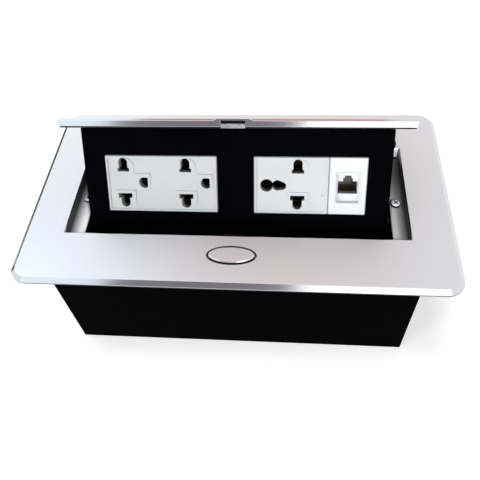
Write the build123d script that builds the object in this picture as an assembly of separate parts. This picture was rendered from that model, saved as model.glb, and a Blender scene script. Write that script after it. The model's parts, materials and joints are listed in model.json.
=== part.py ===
from build123d import *
from math import acos, asin, atan2, cos, degrees, pi, radians, sin, sqrt, tan
import os

os.makedirs("parts", exist_ok=True)

# Desk socket with a pop-up cartridge, in millimetres.
# Origin: centre of the cut-out, in the plane of the desk top. +X right, +Y away from the user, +Z up.

# Bezel: the cast frame that lies on the desk
bezel_width = 265.0
bezel_depth = 149.0
bezel_height = 3.5
bezel_corner = 11.0
bevel_width = 3.0
lip_height = 1.1
seat_height = 0.8
opening_width = 211.0
opening_depth = 76.0
opening_bevel = 0.6
collar_drop = 4.5
collar_wall = 1.5
tab_drop = 37.0
fit_gap = 0.3
screw_hole = 1.55

# Housing: the sheet-steel tub below the desk
tub_width = 221.0
tub_depth = 133.0
tub_bottom = -82.0
tub_sheet = 1.2
fold_radius = 1.0
upstand_height = 9.0
end_flange = 9.0
fixing_hole = 2.1
fixing_y = 52.0
fixing_z = -14.0
side_screw_y = 5.0
side_screw_z = -15.3

# Cable entries in the rear wall: X, Z and hole radius, with the bores of their rings
mains_entry = (-70.0, -60.0, 8.0)
mains_bore = 4.2
data_entry = (70.0, -60.0, 6.0)
data_bore = 3.0
ring_overlap = 2.5
earth_place = (-80.0, 20.0)

# Hinge of the cartridge, and how far it stands open
hinge_y = 55.5
hinge_z = -27.0
open_angle = 41.2
shaft_radius = 3.0
running_gap = 0.05
boss_radius = 9.0
peg_y = 42.5
peg_z = -19.6
spring_near = 97.4
spring_wire = 1.6
spring_radius = 5.0
spring_pitch = 2.35
spring_turns = 4

# Lid
lid_width = 210.2
lid_front = -37.5
lid_thickness = 5.5
lid_under = bezel_height - lid_thickness
sweep_radius = 35.15
lid_draft = 1.6
front_bevel = 1.2
under_bevel = 0.9
notch_width = 14.6
notch_top = 1.15

# Socket panel, leaning away from a right angle with the lid
panel_lean = 8.7
panel_top_y = -30.6
panel_length = 76.0
panel_half = 93.4
panel_sheet = 1.5
panel_flange = 11.0
cheek_sheet = 2.0
cheek_outer = panel_half - panel_sheet
cheek_inner = cheek_outer - cheek_sheet
cheek_screw_heights = (-10.0, -58.0)
cheek_screw_depth = -6.5
cover_screw_heights = (-24.0, -50.0)
cover_screw_depth = -28.0

# Wiring accessories on the panel
plate_height = 35.4
plate_middle = -34.2
duplex_middle = -45.2
duplex_width = 69.0
module_width = 22.5
universal_middle = 34.2
data_middle = 67.95
plate_proud = 1.3
field_depth = 0.4
skirt_depth = 7.0
skirt_height = 33.4
skirt_wall = 1.4
skirt_inset = 1.8
sleeve_wall = 1.2
web_depth = 0.9
dimple_depth = 0.4
body_depth = 27.0
outlet_pitch = 38.6
earth_offset = 11.9

# Release button and latch
button_y = -52.5
button_half_x = 13.8
button_half_y = 5.6
button_gap = 0.8
button_travel = 2.8
tongue_low = 0.8
tongue_thick = 0.9
tongue_tip = -35.2
latch_spring_z = -9.2
latch_spring_wire = 0.6
latch_spring_radius = 1.75
latch_spring_pitch = 1.92
latch_spring_turns = 5

# Rotary damper: a pinion on the housing in mesh with a toothed sector on the cartridge
tooth_module = 1.2
pinion_teeth = 10
sector_teeth = 40
pressure_angle = radians(25)
mesh_direction = radians(235)

hinge_axis = Axis((0, hinge_y, hinge_z), (1, 0, 0))
panel_normal = (0, -cos(radians(panel_lean)), -sin(radians(panel_lean)))
panel_plane = Plane(origin=(0, panel_top_y, lid_under), x_dir=(1, 0, 0), z_dir=panel_normal)


def block(x0, x1, y0, y1, z0, z1):
    """A box given by its limits."""
    middle = ((x0 + x1) / 2, (y0 + y1) / 2, (z0 + z1) / 2)
    return Pos(*middle) * Box(x1 - x0, y1 - y0, z1 - z0)


def rod_x(y, z, radius, x0, x1):
    """A round bar along X."""
    return Pos((x0 + x1) / 2, y, z) * Rot(0, 90, 0) * Cylinder(radius, x1 - x0)


def rod_y(x, z, radius, y0, y1):
    """A round bar along Y."""
    return Pos(x, (y0 + y1) / 2, z) * Rot(90, 0, 0) * Cylinder(radius, y1 - y0)


def rod_z(x, y, radius, z0, z1):
    """A round bar along Z."""
    return Pos(x, y, (z0 + z1) / 2) * Cylinder(radius, z1 - z0)


def profile_x(points, x0, x1):
    """A straight-sided outline in Y and Z, carried along X."""
    face = make_face(Polyline(*points, close=True))
    return extrude(Plane.YZ.offset(x0) * face, x1 - x0)


def group(solids):
    """Separate solids of one kind, kept together."""
    return Compound(children=list(solids))


def raised(shape):
    """Turn what was drawn in the closed cartridge to where it stands open."""
    return shape.rotate(hinge_axis, -open_angle)


def on_panel(shape):
    """Place a shape drawn with X right, Y up the panel and Z out of its face, then open it."""
    return raised(panel_plane.location * shape)


def panel_point(v, w):
    """The (Y, Z) place, in the closed cartridge, of a point v up the panel and w out of it."""
    lean = radians(panel_lean)
    y = panel_top_y - v * sin(lean) - w * cos(lean)
    z = lid_under + v * cos(lean) - w * sin(lean)
    return y, z


def pan_screw(radius, length, head_radius, head_height):
    """A cross-recessed pan-head screw: head above Z = 0, shank below it."""
    head = Cylinder(head_radius, head_height, align=(Align.CENTER, Align.CENTER, Align.MIN))
    head = chamfer(head.edges().group_by(Axis.Z)[-1], head_height * 0.45, head_height * 0.65)
    shank = Pos(0, 0, -length / 2) * Cylinder(radius, length)
    recess = Pos(0, 0, head_height) * Box(head_radius * 1.1, head_radius * 0.28, head_height)
    recess += Pos(0, 0, head_height) * Box(head_radius * 0.28, head_radius * 1.1, head_height)
    return head + shank - recess


def bezel():
    """The frame: bevelled plate, collar round the opening, and a deep tab down each side."""
    inner_corner = bezel_corner - bevel_width
    base = RectangleRounded(bezel_width, bezel_depth, bezel_corner)
    top = RectangleRounded(bezel_width - 2 * bevel_width, bezel_depth - 2 * bevel_width, inner_corner)
    plate = extrude(base, lip_height)
    plate += loft([Pos(0, 0, lip_height) * base, Pos(0, 0, bezel_height) * top], ruled=True)
    half_x, half_y = opening_width / 2, opening_depth / 2
    seat_x, seat_y = tub_width / 2 + 2, tub_depth / 2 + 2
    plate -= block(-seat_x, seat_x, -seat_y, seat_y, -1, seat_height)
    collar = block(-half_x - collar_wall, half_x + collar_wall, -half_y - collar_wall,
                   half_y + collar_wall, -collar_drop, seat_height)
    tabs = block(-half_x - collar_wall, half_x + collar_wall, -half_y, half_y, -tab_drop, seat_height)
    tab_low = tabs.edges().filter_by(Axis.X).group_by(Axis.Z)[0]
    frame = plate + collar + chamfer(tab_low, 3.0)
    frame -= block(-half_x, half_x, -half_y, half_y, -tab_drop - 1, bezel_height + 1)
    mouth = Pos(0, 0, bezel_height - opening_bevel) * Rectangle(opening_width, opening_depth)
    flare = Rectangle(opening_width + 2 * opening_bevel, opening_depth + 2 * opening_bevel)
    frame -= loft([mouth, Pos(0, 0, bezel_height) * flare], ruled=True)
    for side in (-1, 1):
        frame -= rod_x(side_screw_y, side_screw_z, 1.7, *sorted((side * 100, side * 108)))
    frame -= button_hole()
    frame -= block(-7.5, 7.5, -44.7, -half_y + 1, 0.5, tongue_low + tongue_thick + fit_gap)
    frame -= block(-7.5, 7.5, -half_y - 2, -half_y + 1, -collar_drop - 1, seat_height)
    for x, y in bracket_screw_places():
        frame -= rod_z(x, y, screw_hole, seat_height - 0.1, 2.5)
    return frame


def button_hole():
    """The oval through the front strip, flared at its top edge."""
    half_x, half_y = button_half_x + button_gap, button_half_y + button_gap
    hole = Pos(0, button_y, 0) * extrude(Ellipse(half_x, half_y), bezel_height + 1)
    flare = loft([Pos(0, button_y, bezel_height - 0.5) * Ellipse(half_x, half_y),
                  Pos(0, button_y, bezel_height) * Ellipse(half_x + 0.5, half_y + 0.5)], ruled=True)
    return hole + flare


def bracket_screw_places():
    """Where the latch bracket is screwed up into the bezel."""
    return [(side * 23.0, y) for side in (-1, 1) for y in (-58.0, -47.0)]


def housing_tub():
    """The folded sheet below the desk: front wall, floor, and a low upstand at the rear."""
    half_x, half_y = tub_width / 2, tub_depth / 2
    sheet = block(-half_x, half_x, -half_y, half_y, tub_bottom, seat_height)
    sheet -= block(-half_x - 1, half_x + 1, -half_y + tub_sheet, half_y + 1, tub_bottom + tub_sheet, 10)
    folds = sheet.edges().filter_by(Axis.X).group_by(Axis.Z)[0]
    sheet = fillet(folds, fold_radius)
    upstand = block(-half_x + tub_sheet, half_x - tub_sheet, half_y - 2 * tub_sheet, half_y - tub_sheet,
                    tub_bottom + tub_sheet, tub_bottom + upstand_height)
    sheet += upstand
    return sheet - rod_z(*earth_place, 2.05, tub_bottom - 1, tub_bottom + 3)


def tub_rear():
    """The flat rear wall, spot-welded to the upstand and the end walls, with the two cable entries."""
    half_x, half_y = tub_width / 2, tub_depth / 2
    wall = block(-half_x, half_x, half_y - tub_sheet, half_y, tub_bottom + tub_sheet, seat_height)
    for x, z, radius in (mains_entry, data_entry):
        wall -= rod_y(x, z, radius, half_y - 3, half_y + 3)
    return wall


def tub_end(side):
    """An end wall with flanges folded in at the front and the rear, and the holes for what it carries."""
    half_y = tub_depth / 2 - tub_sheet
    inner = tub_width / 2 - tub_sheet
    base = tub_bottom + tub_sheet
    wall = block(inner, tub_width / 2, -half_y, half_y, base, seat_height)
    for y in (-half_y, half_y):
        flange_y = (y, y + tub_sheet) if y < 0 else (y - tub_sheet, y)
        low = base if y < 0 else tub_bottom + upstand_height
        wall += block(inner - end_flange, inner, *flange_y, low + 3, -4)
    for y in (-fixing_y, fixing_y):
        wall -= rod_x(y, fixing_z, fixing_hole, inner - 1, inner + 4)
    wall -= rod_x(side_screw_y, side_screw_z, 2.5, inner - 1, inner + 4)
    wall -= rod_x(hinge_y, hinge_z, shaft_radius + running_gap, inner - 1, inner + 4)
    if side > 0:
        return wall
    wall = mirror(wall, Plane.YZ)
    for y, z in damper_screw_places():
        wall -= rod_x(y, z, screw_hole, -inner - 4, -inner + 1)
    return wall


def grommet(entry, bore):
    """A rubber ring gripping the rear wall, round one cable entry."""
    x, z, radius = entry
    inside, outside = tub_depth / 2 - tub_sheet, tub_depth / 2
    ring = rod_y(x, z, radius, inside, outside)
    ring += rod_y(x, z, radius + ring_overlap, inside - 2, inside)
    outer_flange = rod_y(x, z, radius + ring_overlap, outside, outside + 2.5)
    ring += fillet(outer_flange.edges().group_by(Axis.Y)[-1], 1.2)
    return ring - rod_y(x, z, bore, inside - 3, outside + 3)


def earth_stud():
    """The welded stud for the protective earth."""
    x, y = earth_place
    collar = rod_z(x, y, 4.0, tub_bottom + tub_sheet, tub_bottom + 2)
    return collar + rod_z(x, y, 2.0, tub_bottom + 0.2, tub_bottom + 14)


def earth_nut():
    """Hexagon nut and washer on the earth stud."""
    x, y = earth_place
    washer = rod_z(x, y, 4.5, tub_bottom + 2, tub_bottom + 2.8)
    nut = Pos(x, y, tub_bottom + 2.8) * extrude(RegularPolygon(4.04, 6), 3.2)
    return washer + nut - rod_z(x, y, 2.05, tub_bottom, tub_bottom + 10)


def wall_spacers():
    """Two riveted, threaded spacers between the side tabs and the tub."""
    solids = []
    for side in (-1, 1):
        tab, wall, outside = opening_width / 2 + collar_wall, tub_width / 2 - tub_sheet, tub_width / 2
        body = rod_x(side_screw_y, side_screw_z, 4.0, *sorted((side * tab, side * wall)))
        neck = rod_x(side_screw_y, side_screw_z, 2.5, *sorted((side * wall, side * outside)))
        bore = rod_x(side_screw_y, side_screw_z, 1.5, *sorted((side * (tab - 1), side * (outside + 1))))
        solids.append(body + neck - bore)
    return group(solids)


def side_screws():
    """One pan-head screw through each side tab of the bezel."""
    screw = pan_screw(1.48, 4.6, 2.8, 2.1)
    left = Pos(-opening_width / 2, side_screw_y, side_screw_z) * Rot(0, 90, 0) * Rot(0, 0, 20) * screw
    right = Pos(opening_width / 2, side_screw_y, side_screw_z) * Rot(0, -90, 0) * Rot(0, 0, 35) * screw
    return group([left, right])


def latch_bracket():
    """The pressed cradle below the front strip that guides the latch."""
    low, rear = -14.9, -42.0
    front = -tub_depth / 2 + tub_sheet + 0.7
    floor = block(-19, 19, front, rear, low, low + 1.2)
    body = floor + block(-19, 19, front, front + 1.2, low, -5.0)
    for side in (-1, 1):
        body += block(*sorted((side * 17.8, side * 19)), front, rear, low, seat_height)
        body += block(*sorted((side * 19, side * 27)), front, rear, seat_height - 1.2, seat_height)
        body += block(*sorted((side * 9.3, side * 10.5)), front + 5, rear, low + 1.2, low + 4.0)
    for x, y in bracket_screw_places():
        body -= rod_z(x, y, screw_hole, -1, 1)
    body += rod_y(0, latch_spring_z, 1.2, front + 1.2, front + 3.2)
    return body


def bracket_screws():
    """Four screws holding the latch bracket under the bezel."""
    screw = Rot(180, 0, 0) * pan_screw(1.5, 2.7, 2.7, 1.8)
    return group(Pos(x, y, seat_height - 1.2) * screw for x, y in bracket_screw_places())


def join_distance(step, leave, arrive):
    """How far the two ends of a pair of arcs run along their tangents before they meet."""
    along = step.dot(leave + arrive)
    bend = 1 - leave.dot(arrive)
    return (sqrt(along ** 2 + 2 * bend * step.dot(step)) - along) / (2 * bend)


def coil_path(radius, pitch, turns):
    """The middle line of a coil along +Z from Z = 0: two smooth arcs to each half turn."""
    places, headings = [], []
    for half in range(2 * turns + 1):
        angle = half * pi
        places.append(Vector(radius * cos(angle), radius * sin(angle), half * pitch / 2))
        headings.append(Vector(-radius * sin(angle), radius * cos(angle), pitch / (2 * pi)).normalized())
    arcs = []
    for start, end, leave, arrive in zip(places, places[1:], headings, headings[1:]):
        reach = join_distance(end - start, leave, arrive)
        middle = (start + leave * reach + end - arrive * reach) * 0.5
        arcs.append(arc_from(start, middle, leave))
        arcs.append(arc_from(middle, end, (end - arrive * reach - middle).normalized()))
    return arcs


def arc_from(start, end, heading):
    """The centre, axis direction and angle in degrees of the arc that leaves start along heading."""
    chord = end - start
    normal = heading.cross(chord).normalized()
    inward = normal.cross(heading)
    radius = chord.dot(chord) / (2 * chord.dot(inward))
    centre = start + inward * radius
    angle = 2 * degrees(asin(chord.length / (2 * radius)))
    return start, heading, centre, normal, angle


def coil(wire, radius, pitch, turns, first_leg, last_leg):
    """A round wire wound along +Z from Z = 0: exact ring pieces sewn end to end, with straight legs."""
    skins = []
    pieces = []
    for start, heading, centre, normal, angle in coil_path(radius, pitch, turns):
        section = Plane(origin=start, z_dir=heading) * Circle(wire / 2)
        pieces.append(revolve(section, Axis(centre, normal), angle))
    first, last = pieces[0], pieces[-1]
    if first_leg:
        start, heading = coil_path(radius, pitch, turns)[0][:2]
        section = Plane(origin=start - heading * first_leg, z_dir=heading) * Circle(wire / 2)
        first = extrude(section, first_leg)
        pieces.insert(0, first)
    if last_leg:
        end = Vector(radius, 0, turns * pitch)
        heading = Vector(0, radius, pitch / (2 * pi)).normalized()
        last = extrude(Plane(origin=end, z_dir=heading) * Circle(wire / 2), last_leg)
        pieces.append(last)
    for piece in pieces:
        skins += [face for face in piece.faces() if face.geom_type != GeomType.PLANE]
    caps = first.faces().filter_by(GeomType.PLANE) + last.faces().filter_by(GeomType.PLANE)
    ends = [path_end(cap, pieces) for cap in caps]
    skins += [cap for cap, free in zip(caps, ends) if free]
    return Solid(Shell(skins))


def path_end(cap, pieces):
    """True for a flat face that no neighbouring piece shares."""
    middle = cap.center()
    shared = [face for piece in pieces for face in piece.faces().filter_by(GeomType.PLANE)
              if (face.center() - middle).length < 1e-4]
    return len(shared) == 1


def latch_spring():
    """The compression spring that pushes the latch home and the button up."""
    start = -tub_depth / 2 + tub_sheet + 0.7 + 1.2 + 0.4
    spring = coil(latch_spring_wire, latch_spring_radius, latch_spring_pitch, latch_spring_turns, 0, 0)
    return Pos(0, start, latch_spring_z) * Rot(-90, 0, 0) * spring


def latch_slider():
    """The sliding latch: ramp under the button, riser, and tongue through the bezel's front wall."""
    base = block(-9, 9, -58, -40.1, -13.5, -12.2)
    ramp_points = [(-58, -12.2), (-58, -4.6), (-53.7, -4.6), (-46.1, -12.2)]
    ramp = profile_x(ramp_points, -6, 6) - rod_y(0, latch_spring_z, 2.4, -59, -53.2)
    riser = block(-6, 6, -41.6, -40.1, -12.2, tongue_low + tongue_thick)
    tongue = block(-6, 6, -41.6, tongue_tip, tongue_low, tongue_low + tongue_thick)
    nose = tongue.edges().filter_by(Axis.X).group_by(Axis.Y)[-1].sort_by(Axis.Z)[-1]
    gussets = [profile_x([(-41.6, -12.2), (-41.6, -6.0), (-46.0, -12.2)], x, x + 1.2) for x in (-6, 4.8)]
    return base + ramp + riser + chamfer(nose, 0.6) + gussets


def release_button():
    """The oval push button: domed cap, stop flange below the bezel, and a wedge-ended stem."""
    cap = extrude(Ellipse(button_half_x, button_half_y), 4.3)
    cap = chamfer(cap.edges().group_by(Axis.Z)[-1], 0.5)
    flange = Pos(0, 0, -1.2) * extrude(Ellipse(16.0, 7.4), 1.6)
    button = Pos(0, button_y, 0) * (cap + flange)
    stem_points = [(-55.0, -1.2), (-55.0, -3.0), (-50.0, -8.0), (-48.0, -8.0), (-48.0, -1.2)]
    return button + profile_x(stem_points, -4.5, 4.5)


def hinge_shaft():
    """The steel rod that carries the cartridge, grooved at both ends."""
    reach = tub_width / 2 + 3.0
    shaft = rod_x(hinge_y, hinge_z, shaft_radius, -reach, reach)
    for side in (-1, 1):
        inner, outer = side * (tub_width / 2 + 0.4), side * (tub_width / 2 + 1.2)
        groove = rod_x(hinge_y, hinge_z, 4, *sorted((inner, outer)))
        shaft -= groove - rod_x(hinge_y, hinge_z, 2.2, -reach, reach)
    return shaft


def shaft_clips():
    """Retaining clips snapped into the shaft's grooves."""
    clip = Circle(5.0) - Circle(2.2) - Pos(4, 0) * Rectangle(8, 3.0)
    clip -= [Rot(0, 0, turn) * Pos(2.8, 0) * Circle(1.0) for turn in (100, 260)]
    solids = []
    for side in (-1, 1):
        x = side * (tub_width / 2 + 0.8) - 0.35
        solids.append(extrude(Plane.YZ.offset(x) * Pos(hinge_y, hinge_z) * clip, 0.7))
    return group(solids)


def torsion_spring(side):
    """A helix round the shaft, one leg under the cheek's peg and one to the rear wall."""
    spring = coil(spring_wire, spring_radius, spring_pitch, spring_turns, 16.0, 8.5)
    left = Pos(-spring_near, hinge_y, hinge_z) * Rot(0, -90, 0) * spring
    return left if side < 0 else mirror(left, Plane.YZ)


def damper_centre():
    """The (Y, Z) of the damper's pinion, one centre distance from the hinge."""
    distance = tooth_module * (pinion_teeth + sector_teeth) / 2
    return hinge_y + distance * cos(mesh_direction), hinge_z + distance * sin(mesh_direction)


def damper_screw_places():
    """The (Y, Z) of the two ears of the damper."""
    y, z = damper_centre()
    return [(y - 13.0, z), (y + 13.0, z)]


def damper_body():
    """The closed damper drum with two ears, on the left wall."""
    y, z = damper_centre()
    wall, face = -tub_width / 2 + tub_sheet, -96.2
    drum = rod_x(y, z, 9.0, wall, face)
    drum = fillet(drum.edges().group_by(Axis.X)[-1], 1.0)
    ears = block(wall, wall + 3.0, y - 13, y + 13, z - 4, z + 4)
    for ear_y, ear_z in damper_screw_places():
        ears += rod_x(ear_y, ear_z, 4.0, wall, wall + 3.0)
        ears -= rod_x(ear_y, ear_z, screw_hole, wall - 1, wall + 4)
    return drum + ears - rod_x(y, z, 1.5 + running_gap, face - 8, face + 1)


def damper_screws():
    """Two screws through the damper's ears into the wall."""
    screw = Rot(0, 90, 0) * pan_screw(1.5, 4.6, 2.6, 1.8)
    wall = -tub_width / 2 + tub_sheet + 3.0
    return group(Pos(wall, y, z) * screw for y, z in damper_screw_places())


def flank_points(pitch_radius, root_radius, tip_radius, thin):
    """Half of one tooth's involute flank, as (radius, half angle) from root to tip."""
    base = pitch_radius * cos(pressure_angle)
    involute_at_pitch = tan(pressure_angle) - pressure_angle
    half_at_pitch = (pi * tooth_module / 4 - thin) / pitch_radius
    points = []
    start = max(base, root_radius)
    for step in range(4):
        radius = start + (tip_radius - start) * step / 3
        angle = acos(min(1.0, base / radius))
        points.append((radius, half_at_pitch + involute_at_pitch - (tan(angle) - angle)))
    if root_radius < base:
        points.insert(0, (root_radius, points[0][1]))
    return points


def toothed_outline(teeth, first, last, centre_angle):
    """Corner points of a row of teeth, with tooth 0 centred at centre_angle."""
    pitch_radius = tooth_module * teeth / 2
    addendum, dedendum = 0.8 * tooth_module, 1.1 * tooth_module
    flank = flank_points(pitch_radius, pitch_radius - dedendum, pitch_radius + addendum, 0.05)
    points = []
    for tooth in range(first, last + 1):
        middle = centre_angle + tooth * 2 * pi / teeth
        points += [(r * cos(middle - a), r * sin(middle - a)) for r, a in flank]
        points += [(r * cos(middle + a), r * sin(middle + a)) for r, a in reversed(flank)]
    return points


def damper_pinion():
    """The ten-tooth pinion and its shaft."""
    y, z = damper_centre()
    outline = toothed_outline(pinion_teeth, 0, pinion_teeth - 1, mesh_direction + pi)
    gear = extrude(Plane.YZ.offset(-95.0) * Pos(y, z) * make_face(Polyline(*outline, close=True)), 2.6)
    return gear + rod_x(y, z, 1.5, -103.0, -95.0)


def gear_sector():
    """The toothed sector riveted to the left cheek, in mesh with the pinion."""
    tooth = 2 * pi / sector_teeth
    outline = toothed_outline(sector_teeth, -6, 1, mesh_direction - tooth / 2)
    start, end = outline[0], outline[-1]
    hub = 8.0
    arc = CenterArc((0, 0), hub, degrees(atan2(end[1], end[0])) + 8, 190)
    edge = Polyline(*outline)
    face = make_face(Wire([*edge.edges(), Line(end, arc @ 0), arc, Line(arc @ 1, start)]))
    face -= Circle(4.5)
    sector = extrude(Plane.YZ.offset(-cheek_outer - 3.0) * Pos(hinge_y, hinge_z) * face, 3.0)
    for y, z in sector_rivet_places():
        sector -= rod_x(y, z, 1.5, -100, -90)
    return sector


def sector_rivet_places():
    """The (Y, Z) of the two rivets of the sector, in the open cartridge."""
    angles = (mesh_direction - 0.6, mesh_direction - 0.05)
    return [(hinge_y + 14.5 * cos(a), hinge_z + 14.5 * sin(a)) for a in angles]


def sector_rivets():
    """Two rivets through sector and cheek."""
    solids = []
    for y, z in sector_rivet_places():
        rivet = rod_x(y, z, 1.5, -cheek_outer - 3.0, -cheek_outer + cheek_sheet)
        rivet += rod_x(y, z, 2.4, -cheek_outer + cheek_sheet, -cheek_outer + cheek_sheet + 0.9)
        solids.append(rivet + rod_x(y, z, 2.4, -cheek_outer - 3.9, -cheek_outer - 3.0))
    return group(solids)


def sweep_point(z):
    """The Y, behind which the closed lid at height z would meet the bezel's rear edge."""
    return hinge_y - sqrt(sweep_radius ** 2 - (z - hinge_z) ** 2)


def lid():
    """The cover: bevelled plate, ribbed below, hollowed at the rear to swing over the bezel."""
    rear = sweep_point(bezel_height - 0.5)
    half, low_half = lid_width / 2, lid_width / 2 - lid_draft
    section = [(-half, bezel_height), (half, bezel_height), (low_half, lid_under), (-low_half, lid_under)]
    outer = extrude(Plane.XZ.offset(-rear) * make_face(Polyline(*section, close=True)), rear - lid_front)
    top_edges = outer.edges().group_by(Axis.Z)[-1]
    outer = chamfer(top_edges.sort_by(Axis.Y)[1:], 0.5)
    low_front = outer.edges().group_by(Axis.Z)[0].sort_by(Axis.Y)[0]
    outer = chamfer(low_front, under_bevel) - lid_front_bevel()
    pockets = []
    for middle in (-58.5, -19.5, 19.5, 58.5):
        pockets.append(block(middle - 18.5, middle + 18.5, -14, 27, lid_under - 1, bezel_height - 2.4))
    cover = outer - pockets - rod_x(hinge_y, hinge_z, sweep_radius, -lid_width, lid_width)
    half = notch_width / 2
    cover -= block(-half, half, lid_front - 1, lid_front + 6, lid_under - 1, bezel_height - notch_top)
    cover -= block(-half, half, lid_front, lid_front + 15, lid_under - 1, lid_under + 0.6)
    for x, y in lid_screw_places():
        cover -= rod_z(x, y, screw_hole, lid_under - 1, lid_under + 3.6)
    for x in (-5, 5):
        cover -= rod_z(x, lid_front + 10.5, 1.0, lid_under - 1, lid_under + 3.0)
    return raised(cover)


def lid_front_bevel():
    """What the bevel takes off the lid's front edge: two wedges that run out beside the notch."""
    low = bezel_height - front_bevel
    corner = [(lid_front, low), (lid_front + front_bevel, bezel_height), (lid_front, bezel_height)]
    wedge = profile_x(corner, -lid_width / 2, lid_width / 2)
    keep = Polyline((12.0, low), (9.5, bezel_height), (-9.5, bezel_height), (-12.0, low), close=True)
    bridge = extrude(Plane.XZ.offset(-lid_front - front_bevel - 1) * make_face(keep), front_bevel + 2)
    return wedge - bridge


def lid_screw_places():
    """The (X, Y) of the screws under the lid: four in the panel's flange, two in each cheek's."""
    flange = [(x, -19.0) for x in (-70, -26, 26, 70)]
    cheeks = [(side * 84.0, y) for side in (-1, 1) for y in (4, 22)]
    return flange + cheeks


def lid_screws():
    """Screws that hold the panel and the cheeks to the lid."""
    screw = Rot(180, 0, 0) * pan_screw(1.5, 4.8, 2.7, 1.8)
    return raised(group(Pos(x, y, lid_under - 1.5) * screw for x, y in lid_screw_places()))


def striker_leaf():
    """The sprung plate that closes the notch below the latch slot."""
    half = notch_width / 2 - 0.3
    leaf = block(-half, half, lid_front + 0.3, lid_front + 0.9, lid_under, bezel_height - 2.9)
    foot = block(-half, half, lid_front + 0.9, lid_front + 15, lid_under, lid_under + 0.6)
    return raised(leaf + foot)


def striker_rivets():
    """Two rivets that hold the striker leaf in the lid."""
    pins = [rod_z(x, lid_front + 10.5, 0.95, lid_under + 0.6, lid_under + 3.0) for x in (-5, 5)]
    return raised(group(pins))


def plate_openings():
    """The (middle X, width) of the two cut-outs of the panel."""
    pair_middle = (universal_middle + data_middle) / 2 - module_width / 4
    return [(duplex_middle, duplex_width - 3.2), (pair_middle, 3 * module_width - 3.2)]


def socket_panel():
    """The folded black front that carries the wiring accessories."""
    half = panel_half
    front = block(-half, half, -panel_length, -0.3, -panel_sheet, 0)
    inside = half - panel_sheet
    body = front + block(-inside, inside, -panel_length, -panel_length + panel_sheet, -panel_flange, 0)
    for side in (-1, 1):
        body += block(*sorted((side * half, side * inside)), -panel_length, -2.5, -panel_flange, 0)
    for middle, width in plate_openings():
        body -= Pos(middle, plate_middle, 0) * Box(width, skirt_height + 0.4, 4 * panel_sheet)
    for side in (-1, 1):
        for v in cheek_screw_heights:
            body -= Pos(side * half, v, cheek_screw_depth) * Rot(0, 90, 0) * Cylinder(screw_hole, 8)
    placed = panel_plane.location * body
    half -= 3.5
    top = block(-half, half, panel_top_y + 0.15, panel_top_y + 16, lid_under - panel_sheet, lid_under)
    for x, y in lid_screw_places()[:4]:
        top -= rod_z(x, y, screw_hole, lid_under - 3, lid_under + 1)
    return raised(placed + top)


def cheek(side):
    """A hooked side plate from the lid and panel back to the hinge."""
    front_top = panel_point(-2.0, -panel_sheet)
    front_low = panel_point(-66.0, -panel_sheet)
    heel = panel_point(-66.0, -20)
    angle = radians(162.6)
    hook_top = (hinge_y + sweep_radius * cos(angle), hinge_z + sweep_radius * sin(angle))
    hook_low = (28.6, -24.0)
    start = (sweep_point(lid_under), lid_under)
    middle_angle = (atan2(start[1] - hinge_z, start[0] - hinge_y) + angle) / 2
    middle = (hinge_y + sweep_radius * cos(middle_angle), hinge_z + sweep_radius * sin(middle_angle))
    boss_top = (hinge_y - 1.0, hinge_z + boss_radius)
    boss_low = (hinge_y + 2.0, hinge_z - boss_radius)
    top_front = (panel_top_y + 2.2, lid_under)
    edges = [Polyline(boss_low, heel, front_low, front_top, top_front, start).edges(),
             ThreePointArc(start, middle, hook_top).edges(),
             Polyline(hook_top, hook_low, boss_top, boss_low).edges()]
    face = make_face(Wire([edge for part in edges for edge in part]))
    face += Pos(hinge_y, hinge_z) * Circle(boss_radius)
    face -= Pos(hinge_y, hinge_z) * Circle(4.5)
    plate = extrude(Plane.YZ.offset(cheek_inner) * face, cheek_sheet)
    plate += block(cheek_inner - 10, cheek_inner, -12, 28, lid_under - panel_sheet, lid_under)
    for _, y in lid_screw_places()[6:]:
        plate -= rod_z(84.0, y, screw_hole, lid_under - 3, lid_under + 1)
    holes = [(v, cheek_screw_depth, screw_hole) for v in cheek_screw_heights]
    holes += [(v, cover_screw_depth, 1.3) for v in cover_screw_heights]
    for v, w, radius in holes:
        y, z = panel_point(v, w)
        plate -= rod_x(y, z, radius, cheek_inner - 1, cheek_outer + 1)
    plate = raised(plate) + rod_x(peg_y, peg_z, 1.5, cheek_outer, cheek_outer + 6.8)
    if side > 0:
        return plate
    plate = mirror(plate, Plane.YZ)
    for y, z in sector_rivet_places():
        plate -= rod_x(y, z, 1.5, -cheek_outer - 1, -cheek_inner + 1)
    return plate


def cheek_bushes():
    """Flanged nylon bushes pressed into the cheeks, running on the shaft."""
    solids = []
    for side in (-1, 1):
        inner, outer = side * (cheek_inner), side * cheek_outer
        rim = side * (cheek_inner - 1.5)
        bush = rod_x(hinge_y, hinge_z, 4.5, *sorted((inner, outer + (-3.0 if side < 0 else 0))))
        bush += rod_x(hinge_y, hinge_z, 6.5, *sorted((rim, inner)))
        solids.append(bush - rod_x(hinge_y, hinge_z, shaft_radius + running_gap, -120, 120))
    return group(solids)


def cheek_screws():
    """Two screws through each side flange of the panel into the cheek."""
    solids = []
    for side in (-1, 1):
        for v in cheek_screw_heights:
            screw = pan_screw(1.5, panel_sheet + cheek_sheet + 0.8, 2.7, 1.7)
            y, z = panel_point(v, cheek_screw_depth)
            solids.append(Pos(side * panel_half, y, z) * Rot(0, 90 * side, 0) * screw)
    return raised(group(solids))


def upper_slot():
    """Upper plug slot: round at the top, a wider flat foot below."""
    arch = Pos(0, 10.5) * Rectangle(5.5, 5.8) + Pos(0, 13.4) * Circle(2.75)
    return arch + Pos(0, 8.7) * Rectangle(7.3, 2.2)


def lower_slot():
    """Lower plug slot: wide flat top, round at the bottom."""
    arch = Pos(0, -9.2) * Rectangle(5.7, 6.0) + Pos(0, -12.2) * Circle(2.85)
    return arch + Pos(0, -7.7) * Rectangle(8.8, 3.0)


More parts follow.
